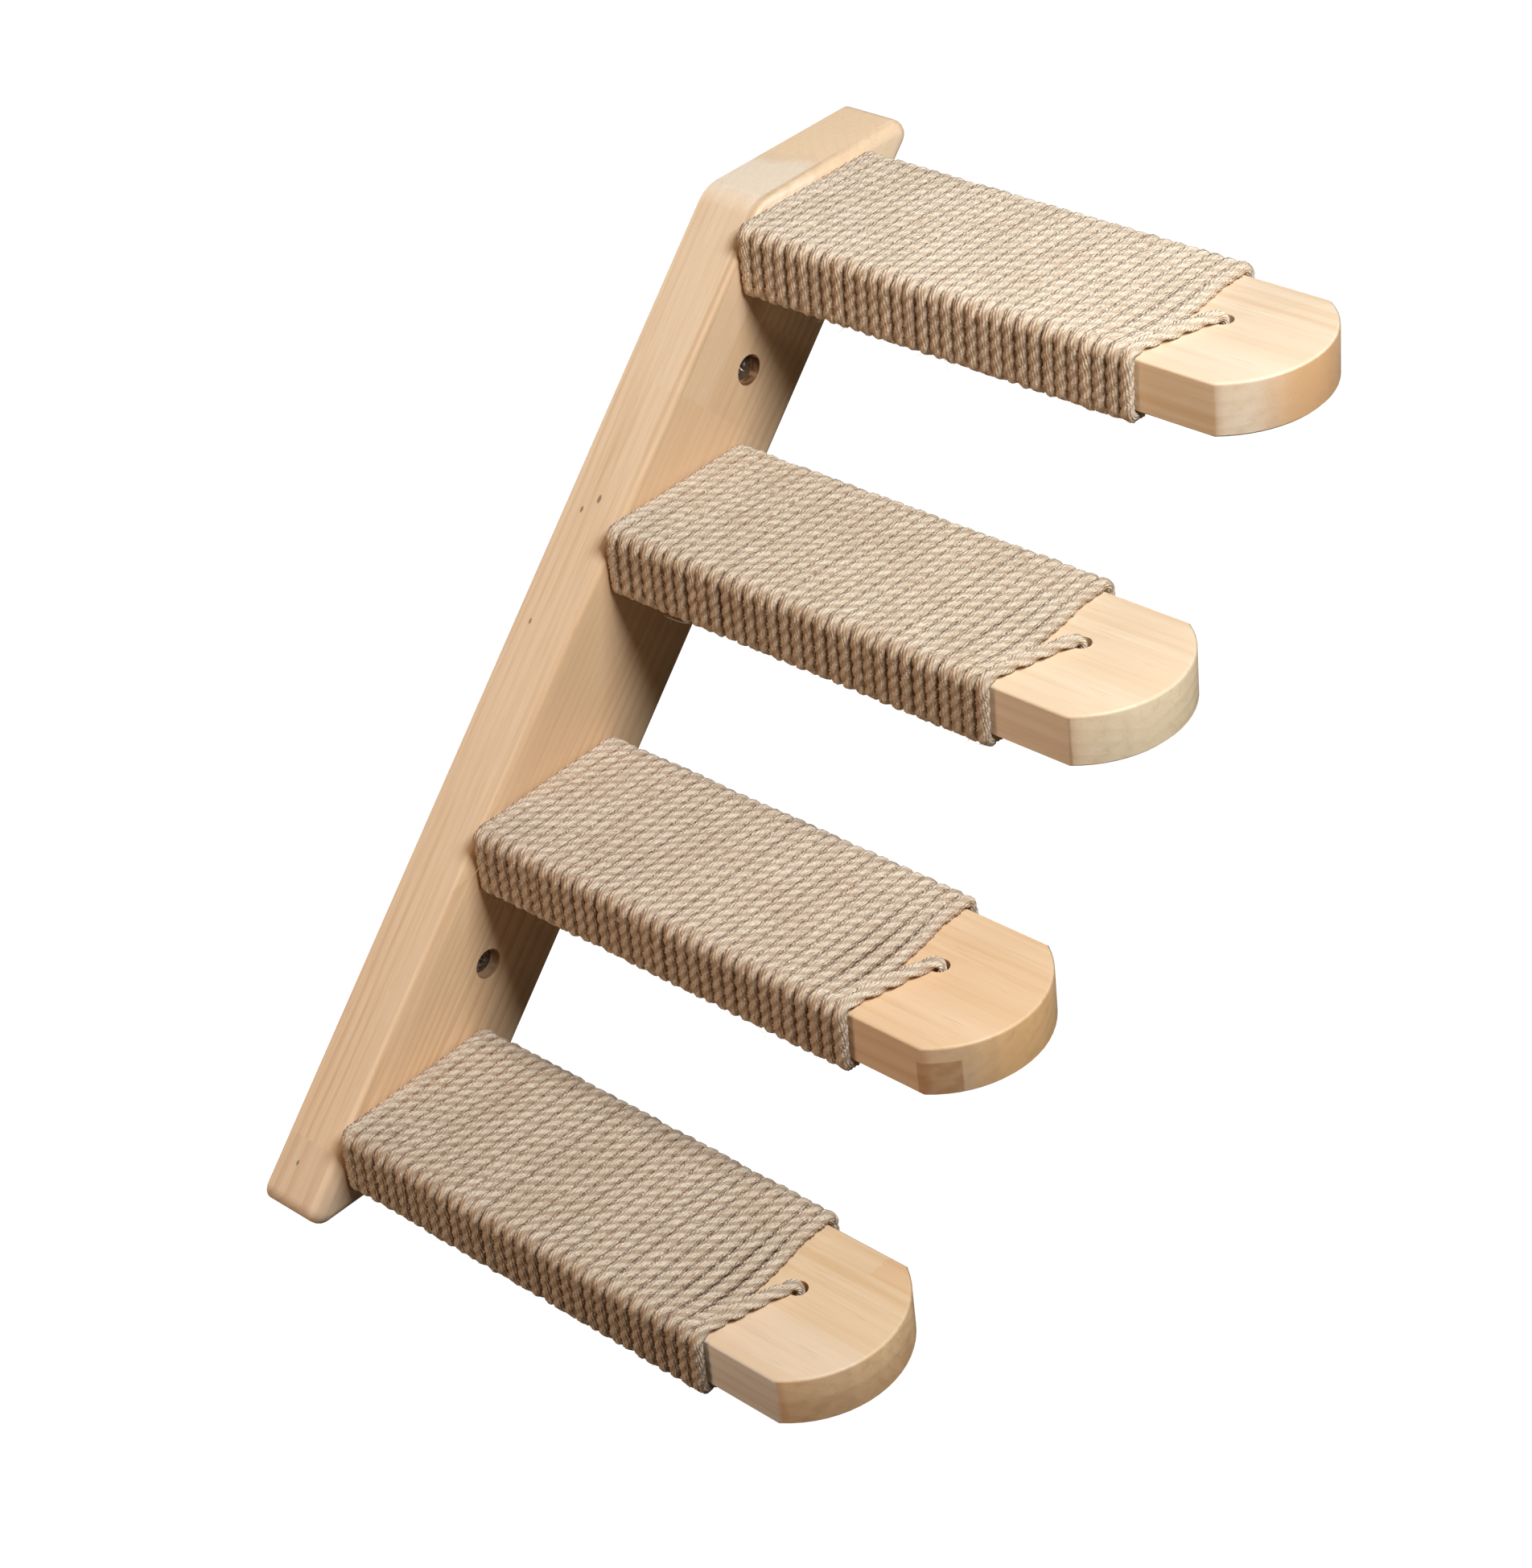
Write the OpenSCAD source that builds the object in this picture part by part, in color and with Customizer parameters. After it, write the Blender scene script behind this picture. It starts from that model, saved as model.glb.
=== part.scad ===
/* [Board] */
// Lean of the board from upright, in degrees
lean = 45; // [38:1:50]
// Length of the board along its lean, from tip to tip
board_len = 400; // [390:1:460]
// Width of the board, across its lean
board_w = 56; // [50:1:70]
// Thickness of the board
board_t = 24; // [20:1:30]
// Radius of the board's two pointed corners
tip_r = 5; // [5:0.5:9]
// Radius of the board's two blunt corners
heel_r = 12; // [6:1:18]
// Rounding of the front edges at the board's pointed corners
tip_round = 4.5; // [2:0.5:4.5]
// Rounding of the front edges at the board's blunt corners
heel_round = 1.5; // [1:0.5:4]

/* [Steps] */
// Distance from the wall to the front corners of a step
step_reach = 205; // [180:1:235]
// Width of a step
step_w = 59; // [50:1:66]
// Thickness of a step
step_t = 18; // [16:1:24]
// How far the rounded front end stands beyond its corners
tip_bulge = 16; // [8:1:22]
// Spacing of the steps along the board
step_pitch = 103; // [90:1:106]
// Distance of the steps from the board's centre line, towards its upper side
step_shift = 3.4; // [0:0.2:4]
// Softening of the step's edges
edge = 1; // [0.5:0.25:2]

/* [Rope] */
// Width of the rope, flattened by winding
rope_w = 5.6; // [4.8:0.1:6.4]
// Thickness of the rope, flattened by winding
rope_t = 3.6; // [3:0.1:4.4]
// Least gap between two turns
turn_gap = 0.6; // [0.5:0.05:1]
// Gap between the rope and the wood under it
rope_clear = 0.3; // [0.2:0.05:0.5]
// Length of wood left bare between the winding and the front corners
bare_tip = 27; // [22:1:40]
// Distance from the winding to the centre of the rope hole
hole_after = 7.5; // [5:0.5:12]
// Distance of the rope hole from the step's centre line, to the right
hole_x = 3; // [-6:0.5:8]
// Gap around the rope in its holes
hole_gap = 0.4; // [0.3:0.05:0.8]
// Depth of the rope's ends in their holes
rope_end = 8; // [6:0.5:10]
// Wood between the board and the hole where the winding starts
start_wall = 1.2; // [1:0.1:3]

/* [Wall screws] */
// Distance between the two wall screws, along the board
wall_screw_span = 208; // [195:1:220]
// Diameter of a wall screw's shank
wall_screw_d = 4.5; // [3.5:0.5:6]
// Diameter of a wall screw's head
wall_head_d = 9; // [8:0.5:11]
// Length of a wall screw
wall_screw_len = 38; // [35:1:70]
// Depth of a wall screw's head below the board's front
wall_sink = 3.5; // [1:0.5:6]
// Gap around a wall screw's head
wall_head_gap = 0.75; // [0.25:0.25:1.5]

/* [Step screws] */
// Distance of a step's two screws from the step's sides
step_screw_inset = 11.5; // [9:0.5:16]
// Diameter of a step screw's shank
step_screw_d = 4.5; // [3.5:0.5:5]
// Diameter of a step screw's head
step_head_d = 8.5; // [7:0.5:9.5]
// Length of a step screw
step_screw_len = 60; // [45:1:80]
// Depth of a step screw's head below the board's back
step_sink = 0.5; // [0.25:0.25:1.5]
// Gap between any screw and its hole
screw_clear = 0.15; // [0.1:0.05:0.3]
// Thickness of a screw's smooth neck, as a share of its thread's
neck_share = 0.75; // [0.7:0.05:0.85]
// Distance of the thread from the board that the neck passes through
thread_gap = 0.3; // [0.2:0.05:0.4]

/* [Hidden] */
eps = 0.01;

// Places on the board: u runs up along the lean, v across it to the lower right
function on_board(u, v) = [u * sin(lean) + v * cos(lean), 0, u * cos(lean) - v * sin(lean)];

// Half of the board's height, so that its rounded tips lie board_len apart
half_high = (board_len / 2 - tip_r) * cos(lean) + tip_r - (board_w / 2 - tip_r) * sin(lean);

// Centre of a rounded corner that touches one long side and one level end
function corner(side, end, r) =
    let (v = side * (board_w / 2 - r), z = end * (half_high - r))
    on_board((z + v * sin(lean)) / cos(lean), v);

// Centre of each step, counted from the bottom
function step_at(k) = on_board((k - 1.5) * step_pitch, -step_shift);

// Step outline: straight sides, then an arc through both front corners
tip_radius = (pow(step_w / 2, 2) + pow(tip_bulge, 2)) / (2 * tip_bulge);
tip_centre = step_reach + tip_bulge - tip_radius;
tip_facets = 20;
function step_outline(inset) =
    let (r = tip_radius - inset, half = asin((step_w / 2 - inset) / r))
    concat(
        [[step_w / 2 - inset, -board_t], [-step_w / 2 + inset, -board_t]],
        [for (i = [0 : tip_facets])
            let (a = half * (2 * i / tip_facets - 1))
            [r * sin(a), -tip_centre - r * cos(a)]]
    );

// Rope section: five sides, the flat one on the wood
rope_sides = 5;
section_w = rope_w / 2 / sin(360 / rope_sides);
section_t = rope_t / (1 + cos(180 / rope_sides));
section_flat = section_t * cos(180 / rope_sides);
lay = rope_clear + section_flat;

// Rope holes: one through the step near its tip, one blind in its underside by the board
rope_hole_r = rope_w / 2 + hole_gap;
tip_hole_y = step_reach - bare_tip + hole_after;
start_hole_y = board_t + start_wall + rope_hole_r;
end_room = 1;
start_hole_deep = rope_end + end_room;

// One turn round the step: a flat chord across each corner, and four straight runs
turn_rings = 8;
half_bend = 180 / turn_rings;
turn_r = edge + lay;
chord = 2 * turn_r * tan(half_bend);
core_x = step_w / 2 - edge;
core_z = step_t / 2 - edge;
legs = [chord, 2 * core_z + chord, chord, 2 * core_x + chord,
        chord, 2 * core_z + chord, chord, 2 * core_x + chord];
function leg_sum(n) = n == 0 ? 0 : legs[n - 1] + leg_sum(n - 1);
turn_len = leg_sum(turn_rings);
function along(j) = floor(j / turn_rings) * turn_len + leg_sum(j % turn_rings);

// Bend at both rope ends, and the run from the start hole to the first corner
end_inner = 0.6;
end_bend = section_flat + end_inner;
start_run = core_x + chord / 2;

// As many turns as fit between the start hole and the bare tip
last_ring = 3;
wound_to = step_reach - bare_tip - rope_w / 2;
turn_room = (wound_to - start_hole_y) / (rope_w + turn_gap);
turns = floor(turn_room - (start_run + along(last_ring)) / turn_len) + 1;
rings = (turns - 1) * turn_rings + last_ring;
wound_len = start_run + along(rings);
function turn_y(s) = -start_hole_y - (wound_to - start_hole_y) * (s + start_run) / wound_len;

// A ring of the rope: o points away from the wood, s along the winding
function ring(at, o, s, stretch = 1) =
    [for (k = [0 : rope_sides - 1])
        let (a = 360 * k / rope_sides)
        at + o * section_t * stretch * cos(a) + s * section_w * sin(a)];

// A mitred ring on a bend: turned about its centre, from one straight run to the next
function bend_ring(centre, o, s, r) = ring(centre + o * r / cos(half_bend), o, s, 1 / cos(half_bend));

forward = [0, -1, 0];

// Sides of the step that the rings of a turn lie at, from its lower left corner
ring_x = [-1, -1, -1, -1, 1, 1, 1, 1];
ring_z = [-1, -1, 1, 1, 1, 1, -1, -1];
first_angle = 270 - half_bend;

// Rings of the turns, clockwise as seen from the front, from the lower left corner
function turn_ring(j) =
    let (
        q = j % turn_rings,
        a = first_angle - q * 2 * half_bend,
        centre = [ring_x[q] * core_x, turn_y(along(j)), ring_z[q] * core_z]
    )
    bend_ring(centre, [cos(a), 0, sin(a)], forward, turn_r);

// The start comes down out of its hole and bends to the left
function start_rings() =
    let (centre = [-end_bend, -start_hole_y, -step_t / 2 - lay + end_bend])
    [
        ring([0, -start_hole_y, -step_t / 2 + rope_end], [1, 0, 0], forward),
        bend_ring(centre, [cos(half_bend), 0, -sin(half_bend)], forward, end_bend),
        bend_ring(centre, [sin(half_bend), 0, -cos(half_bend)], forward, end_bend)
    ];

// The tail crosses the top to its hole and bends down into it
function tail_rings() =
    let (
        up = [0, 0, 1],
        from = [-core_x - chord / 2, -wound_to, 0],
        hole = [hole_x, -tip_hole_y, 0],
        d = (hole - from) / norm(hole - from),
        s = cross(d, up),
        centre = hole - d * end_bend + up * (step_t / 2 + lay - end_bend)
    )
    [
        bend_ring(centre, d * sin(half_bend) + up * cos(half_bend), s, end_bend),
        bend_ring(centre, d * cos(half_bend) + up * sin(half_bend), s, end_bend),
        ring(hole + up * (step_t / 2 - rope_end), d, s)
    ];

rope_rings = concat(start_rings(), [for (j = [0 : rings]) turn_ring(j)], tail_rings());

// Least distance between points of neighbouring turns
function ring_gap(a, b) = min([for (p = a) for (q = b) norm(p - q)]);
least_gap = min([
    for (i = [0 : len(rope_rings) - turn_rings - 1])
        for (j = [i + turn_rings - 1 : min(i + turn_rings + 1, len(rope_rings) - 1)])
            ring_gap(rope_rings[i], rope_rings[j])
]);
echo(turns = turns, least_gap = least_gap);

// Sizes that all screws share: the hidden screws of the steps are left coarse
screw_facets = 48;
coarse_facets = 12;
screw_point = 4;
slot_w = 1.3;
slot_len = 0.55;
slot_deep = 2;

// A screw along +Z, its head's top at the origin: cross recess, cone, neck, thread and point
module screw(d, head_d, length, neck, facets) {
    neck_d = d * neck_share;
    difference() {
        union() {
            cylinder(d1 = head_d, d2 = neck_d, h = (head_d - neck_d) / 2, $fn = facets);
            cylinder(d = neck_d, h = neck + eps, $fn = facets);
            translate([0, 0, neck])
                cylinder(d = d, h = length - screw_point - neck, $fn = facets);
            translate([0, 0, length - screw_point])
                cylinder(d1 = d, d2 = d / 4, h = screw_point, $fn = coarse_facets);
        }
        for (a = [0, 90])
            rotate(a)
                translate([-head_d * slot_len / 2, -slot_w / 2, -eps])
                    cube([head_d * slot_len, slot_w, slot_deep]);
    }
}

// The hole for such a screw, with its head sunk below a face
module screw_hole(d, head_d, length, sink, head_gap) {
    head_r = head_d / 2 + screw_clear;
    shank_r = d / 2 + screw_clear;
    translate([0, 0, -sink - eps])
        cylinder(r = head_d / 2 + head_gap, h = sink + eps, $fn = screw_facets);
    cylinder(r1 = head_r, r2 = shank_r, h = head_r - shank_r, $fn = screw_facets);
    cylinder(r = shank_r, h = length, $fn = screw_facets);
}

// Place of a wall screw: from the front, pointing into the wall
module at_wall_screw(side) {
    translate(on_board(side * wall_screw_span / 2, 0))
        translate([0, -board_t + wall_sink, 0])
            rotate([-90, 0, 0])
                children();
}

// Place of a step's screw: from the back, pointing forward
module at_step_screw(k, side) {
    translate(step_at(k) + [side * (step_w / 2 - step_screw_inset), -step_sink, 0])
        rotate([90, 0, 0])
            children();
}

corner_facets = 24;

// Corner of the board: round in plan, with its front edge softened
module board_corner(r, soft) {
    rotate([90, 0, 0])
        rotate_extrude($fn = corner_facets) {
            square([r, board_t - soft]);
            square([r - soft, board_t]);
            translate([r - soft, board_t - soft])
                intersection() {
                    circle(r = soft, $fn = corner_facets);
                    square(soft);
                }
        }
}

module back_board() {
    color("burlywood")
        difference() {
            hull() {
                translate(corner(1, 1, tip_r)) board_corner(tip_r, tip_round);
                translate(corner(-1, -1, tip_r)) board_corner(tip_r, tip_round);
                translate(corner(-1, 1, heel_r)) board_corner(heel_r, heel_round);
                translate(corner(1, -1, heel_r)) board_corner(heel_r, heel_round);
            }
            for (side = [-1, 1])
                at_wall_screw(side)
                    screw_hole(wall_screw_d, wall_head_d, board_t, wall_sink, wall_head_gap);
            for (k = [0 : 3])
                for (side = [-1, 1])
                    at_step_screw(k, side)
                        screw_hole(step_screw_d, step_head_d, board_t, step_sink, screw_clear);
        }
}

// A step: a level plank that stands on the board's front face
module step(k) {
    color("navajowhite")
        difference() {
            translate(step_at(k))
                hull() {
                    translate([0, 0, -step_t / 2])
                        linear_extrude(step_t)
                            polygon(step_outline(edge));
                    translate([0, 0, -step_t / 2 + edge])
                        linear_extrude(step_t - 2 * edge)
                            polygon(step_outline(0));
                }
            translate(step_at(k) + [hole_x, -tip_hole_y, -step_t / 2 - eps])
                cylinder(r = rope_hole_r, h = step_t + 2 * eps, $fn = screw_facets);
            translate(step_at(k) + [0, -start_hole_y, -step_t / 2 - eps])
                cylinder(r = rope_hole_r, h = start_hole_deep + eps, $fn = screw_facets);
            for (side = [-1, 1])
                at_step_screw(k, side)
                    cylinder(d = step_screw_d + 2 * screw_clear, h = step_screw_len + end_room,
                             $fn = screw_facets);
        }
}

// A winding: one unbroken tube from its start hole, round the step, to its tip hole
module rope(k) {
    n = rope_sides;
    last = (len(rope_rings) - 1) * n;
    sides = [
        for (i = [0 : len(rope_rings) - 2])
            for (c = [0 : n - 1])
                let (a = i * n + c, b = i * n + (c + 1) % n)
                each [[a, a + n, b + n], [a, b + n, b]]
    ];
    caps = [for (c = [1 : n - 2]) each [[0, c, c + 1], [last, last + c + 1, last + c]]];
    color("tan")
        translate(step_at(k))
            polyhedron(points = [for (r = rope_rings) each r], faces = concat(sides, caps));
}

module wall_screw(side) {
    color("silver")
        at_wall_screw(side)
            screw(wall_screw_d, wall_head_d, wall_screw_len,
                  board_t - wall_sink + thread_gap, screw_facets);
}

module step_screw(k, side) {
    color("silver")
        at_step_screw(k, side)
            screw(step_screw_d, step_head_d, step_screw_len,
                  board_t - step_sink + thread_gap, coarse_facets);
}

module bottom_step() { step(0); }
module lower_step() { step(1); }
module upper_step() { step(2); }
module top_step() { step(3); }
module bottom_rope() { rope(0); }
module lower_rope() { rope(1); }
module upper_rope() { rope(2); }
module top_rope() { rope(3); }
module upper_wall_screw() { wall_screw(1); }
module lower_wall_screw() { wall_screw(-1); }
module bottom_step_left_screw() { step_screw(0, -1); }
module bottom_step_right_screw() { step_screw(0, 1); }
module lower_step_left_screw() { step_screw(1, -1); }
module lower_step_right_screw() { step_screw(1, 1); }
module upper_step_left_screw() { step_screw(2, -1); }
module upper_step_right_screw() { step_screw(2, 1); }
module top_step_left_screw() { step_screw(3, -1); }
module top_step_right_screw() { step_screw(3, 1); }

back_board();
top_step();
upper_step();
lower_step();
bottom_step();
top_rope();
upper_rope();
lower_rope();
bottom_rope();
upper_wall_screw();
lower_wall_screw();
top_step_left_screw();
top_step_right_screw();
upper_step_left_screw();
upper_step_right_screw();
lower_step_left_screw();
lower_step_right_screw();
bottom_step_left_screw();
bottom_step_right_screw();
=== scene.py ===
"""Wall-mounted cat ladder: wood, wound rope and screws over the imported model."""
import math

import bpy
import numpy as np
from mathutils import Euler, Matrix, Vector


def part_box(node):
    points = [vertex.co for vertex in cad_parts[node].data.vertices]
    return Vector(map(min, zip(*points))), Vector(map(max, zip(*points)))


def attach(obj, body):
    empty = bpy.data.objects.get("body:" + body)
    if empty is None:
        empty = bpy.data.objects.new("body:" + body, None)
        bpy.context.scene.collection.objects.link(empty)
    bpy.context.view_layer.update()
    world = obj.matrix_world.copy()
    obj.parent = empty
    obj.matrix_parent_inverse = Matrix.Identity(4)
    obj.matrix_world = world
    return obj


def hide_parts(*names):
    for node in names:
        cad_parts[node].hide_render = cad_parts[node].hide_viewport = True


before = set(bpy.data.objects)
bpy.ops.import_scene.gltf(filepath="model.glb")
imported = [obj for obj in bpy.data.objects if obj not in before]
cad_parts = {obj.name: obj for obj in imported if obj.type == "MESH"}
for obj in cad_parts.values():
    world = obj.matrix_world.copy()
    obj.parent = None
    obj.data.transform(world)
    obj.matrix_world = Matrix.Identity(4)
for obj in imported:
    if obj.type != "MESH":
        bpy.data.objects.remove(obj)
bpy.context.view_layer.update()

# Sizes and places are in mm, apart from those of the stage, the lights and the camera
MM = 0.001

# Sizes repeated from part.scad
STEP_HALF_W = 29.5
STEP_HALF_T = 9.0
STEP_EDGE = 1.0
START_HOLE_Y = -28.4
TIP_HOLE_X = 3.0
TIP_HOLE_Y = -185.5
WALL_SCREW_SPAN = 208.0


def step_centre(key):
    """Where the middle of a step is, in x and z, from its box in the frame."""
    low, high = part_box(key + "_step")
    return (low[0] + high[0]) / 2 / MM, (low[2] + high[2]) / 2 / MM


STEP_AT = {key: step_centre(key) for key in ("bottom", "lower", "upper", "top")}

# Directions along, across and through the wood's grain
SLANT = math.sqrt(0.5)
BOARD_AXES = ((SLANT, 0.0, SLANT), (SLANT, 0.0, -SLANT), (0.0, 1.0, 0.0))
STEP_AXES = ((0.0, 1.0, 0.0), (1.0, 0.0, 0.0), (0.0, 0.0, 1.0))


def share(value):
    """The value, kept between 0 and 1."""
    return min(1.0, max(0.0, value))


def add_object(name, data):
    """Makes an object of a mesh, light or camera, and puts it in the scene."""
    made = bpy.data.objects.new(name, data)
    bpy.context.scene.collection.objects.link(made)
    return made


# Sockets of the colour mix node
MIX_FACTOR = 0
MIX_A = 6
MIX_B = 7
MIX_RESULT = 2


def node(tree, kind, inputs=None, **settings):
    """Adds a shader node; an input given as a socket is linked, and one given as a value is set."""
    made = tree.nodes.new(kind)
    for name, value in settings.items():
        setattr(made, name, value)
    for name, value in (inputs or {}).items():
        if isinstance(value, bpy.types.NodeSocket):
            tree.links.new(value, made.inputs[name])
        else:
            made.inputs[name].default_value = value
    return made


def math_node(tree, operation, a, b=0.0, c=0.0):
    return node(tree, "ShaderNodeMath", {0: a, 1: b, 2: c}, operation=operation).outputs[0]


def add(tree, a, b):
    return math_node(tree, "ADD", a, b)


def subtract(tree, a, b):
    return math_node(tree, "SUBTRACT", a, b)


def multiply(tree, first, *others):
    """The product of two or more values."""
    for other in others:
        first = math_node(tree, "MULTIPLY", first, other)
    return first


def multiply_add(tree, a, b, c):
    """a times b, plus c."""
    return math_node(tree, "MULTIPLY_ADD", a, b, c)


def vector_math(tree, operation, a, b, output=0):
    return node(tree, "ShaderNodeVectorMath", {0: a, 1: b}, operation=operation).outputs[output]


def noise(tree, at, scale, detail=2.0, rough=0.5):
    """Noise from 0 to 1; scale is one number, or one for each direction."""
    if isinstance(scale, tuple):
        at = vector_math(tree, "MULTIPLY", at, scale)
        scale = 1.0
    return node(tree, "ShaderNodeTexNoise", {"Vector": at, "Scale": scale, "Detail": detail,
                                             "Roughness": rough}).outputs["Fac"]


def mix(tree, factor, a, b, blend="MIX"):
    return node(tree, "ShaderNodeMix", {MIX_FACTOR: factor, MIX_A: a, MIX_B: b},
                data_type="RGBA", blend_type=blend).outputs[MIX_RESULT]


def span(tree, value, low, high, to_low=0.0, to_high=1.0):
    """Maps low..high to to_low..to_high, smoothly and clamped."""
    return node(tree, "ShaderNodeMapRange", {"Value": value, "From Min": low, "From Max": high,
                                             "To Min": to_low, "To Max": to_high},
                interpolation_type="SMOOTHSTEP").outputs["Result"]


def object_place(tree):
    return tree.nodes.new("ShaderNodeTexCoord").outputs["Object"]


def surface_normal(tree):
    return tree.nodes.new("ShaderNodeNewGeometry").outputs["Normal"]


def attribute(tree, name):
    return node(tree, "ShaderNodeAttribute", attribute_name=name).outputs["Fac"]


def colour(tint, by=(1.0, 1.0, 1.0)):
    """A shader colour: the tint, times another where one is given."""
    return (tint[0] * by[0], tint[1] * by[1], tint[2] * by[2], 1.0)


def layered(tree, base, layers):
    """Lays each layer's tint over the base by its amount, the first one first."""
    for amount, tint in layers:
        base = mix(tree, amount, base, colour(tint))
    return base


def new_material(name):
    material = bpy.data.materials.new(name)
    material.use_nodes = True
    tree = material.node_tree
    tree.nodes.clear()
    shader = tree.nodes.new("ShaderNodeBsdfPrincipled")
    out = tree.nodes.new("ShaderNodeOutputMaterial")
    tree.links.new(shader.outputs[0], out.inputs["Surface"])
    return material, tree, shader


def set_surface(tree, shader, base, rough, height, strength, depth):
    """Links a material's colour and roughness, and a bump of this height, strength and depth in mm."""
    bump = node(tree, "ShaderNodeBump", {"Strength": strength, "Distance": depth * MM, "Height": height})
    tree.links.new(base, shader.inputs["Base Color"])
    tree.links.new(rough, shader.inputs["Roughness"])
    tree.links.new(bump.outputs[0], shader.inputs["Normal"])


# Wood: how often each noise varies in a metre, along, across and through the grain
WANDER_SCALE = (5.0, 26.0, 26.0)
STRENGTH_SCALE = (4.0, 30.0, 30.0)
FIBRE_SCALE = (60.0, 2200.0, 2200.0)
STREAK_SCALE = (9.0, 260.0, 260.0)
CLOUD_SCALE = (10.0, 22.0, 22.0)
PORE_SCALE = (80.0, 1500.0, 1500.0)
BAND_SCALE = (6.0, 110.0, 110.0)

# Half the spacing of the fingers where two blocks join, and how steep the fingers are
FINGER_HALF = 1.9
FINGER_SLOPE = 0.3

# What the right strip adds to its blocks' numbers, so that they differ from the left strip's
RIGHT_STRIP = 7.0

# The pith of a block's tree: how far aside it lies, from how deep to how near, and how its rings wander
PITH_ASIDE = 45.0
PITH_DEEP = -75.0
PITH_NEAR = -20.0
RING_WANDER = 10.0

# Calm wood: half the width of the change to it, and the share of rings and streaks that is left there
CALM_CHANGE = 4.0
CALM_LEFT = 0.2

# How far a patch's long edges wander, times this looseness for each mm of the patch's softness
PATCH_WANDER = 12.0
PATCH_LOOSENESS = 0.3

# Dark specks are longer along the grain
SPECK_STRETCH = (0.45, 1.0, 1.0)
SPECK_TINT = (0.16, 0.08, 0.04)
PORE_TINT = (0.30, 0.17, 0.08)

# The pale bands and the dark late wood, as shares of the wood's own pale and warm tints
BAND_SHARE = (1.07, 1.10, 1.16)
LATE_SHARE = (0.83, 0.70, 0.55)


def patch(tint, amount, soft, u=(None, None), v=(None, None), w=(None, None)):
    """A tint between limits along, across and through the grain, for the wood's own marks and for painted
    light and shade; soft is its edge.
    """
    return tint, amount, soft, (u, v, w)


def painted_bore_shade(at, amount):
    """Painted shade on the wall of a wall screw's bore, at a place along the board."""
    half = 5.3
    return patch((0.12, 0.05, 0.02), amount, 0.2,
                 u=(at - half, at + half), v=(-half, half), w=(-23.7, -15.0))


def block_numbers(tree, along, v, joints, strip_at):
    """A number for each block: a joint is where a new one starts, and in which of the glued strips."""
    right = math_node(tree, "GREATER_THAN", v, strip_at * MM)
    number = multiply(tree, right, RIGHT_STRIP)
    for at, strip in joints:
        past = math_node(tree, "GREATER_THAN", along, at * MM)
        if strip == "right":
            past = multiply(tree, past, right)
        if strip == "left":
            past = multiply(tree, past, subtract(tree, 1.0, right))
        number = add(tree, number, past)
    return number


def growth_rings(tree, turned, u, v, w, chance, ring, tilt):
    """Growth rings round a pith that lies differently in each block."""
    wander = noise(tree, turned, WANDER_SCALE)
    pith_v = add(tree, span(tree, chance[0], 0.0, 1.0, -PITH_ASIDE * MM, PITH_ASIDE * MM),
                 multiply(tree, u, tilt))
    pith_w = span(tree, chance[1], 0.0, 1.0, PITH_DEEP * MM, PITH_NEAR * MM)
    aside = subtract(tree, v, pith_v)
    above = subtract(tree, w, pith_w)
    radius = math_node(tree, "SQRT", add(tree, multiply(tree, aside, aside), multiply(tree, above, above)))
    radius = multiply_add(tree, wander, RING_WANDER * MM, radius)
    phase = math_node(tree, "FRACT", math_node(tree, "DIVIDE", radius, ring * MM))
    darkening = span(tree, phase, 0.35, 0.93)
    ending = span(tree, phase, 0.93, 1.0, 1.0, 0.0)
    strength = span(tree, noise(tree, turned, STRENGTH_SCALE, 1.0), 0.35, 0.7, 0.25, 1.0)
    return multiply(tree, darkening, ending, strength)


def patch_cover(tree, along, v, w, cloud, soft, limits):
    """How far a point lies inside a patch; its long edges wander with the cloud."""
    wavy = multiply_add(tree, cloud, PATCH_WANDER * MM, -PATCH_WANDER / 2 * MM)
    wavy_v = multiply_add(tree, wavy, soft * PATCH_LOOSENESS, v)
    cover = 1.0
    for value, (low, high) in zip((along, wavy_v, w), limits):
        if low is not None:
            past = span(tree, value, (low - soft) * MM, (low + soft) * MM)
            cover = multiply(tree, cover, past)
        if high is not None:
            before = span(tree, value, (high - soft) * MM, (high + soft) * MM, 1.0, 0.0)
            cover = multiply(tree, cover, before)
    return cover


def speck_cover(tree, turned, at, size):
    """How much a dark speck covers a point."""
    middle = [a * b * MM for a, b in zip(at, SPECK_STRETCH)]
    stretched = vector_math(tree, "MULTIPLY", turned, SPECK_STRETCH)
    away = vector_math(tree, "DISTANCE", stretched, middle, "Value")
    return span(tree, away, size * 0.4 * MM, size * MM, 0.75, 0.0)


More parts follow.
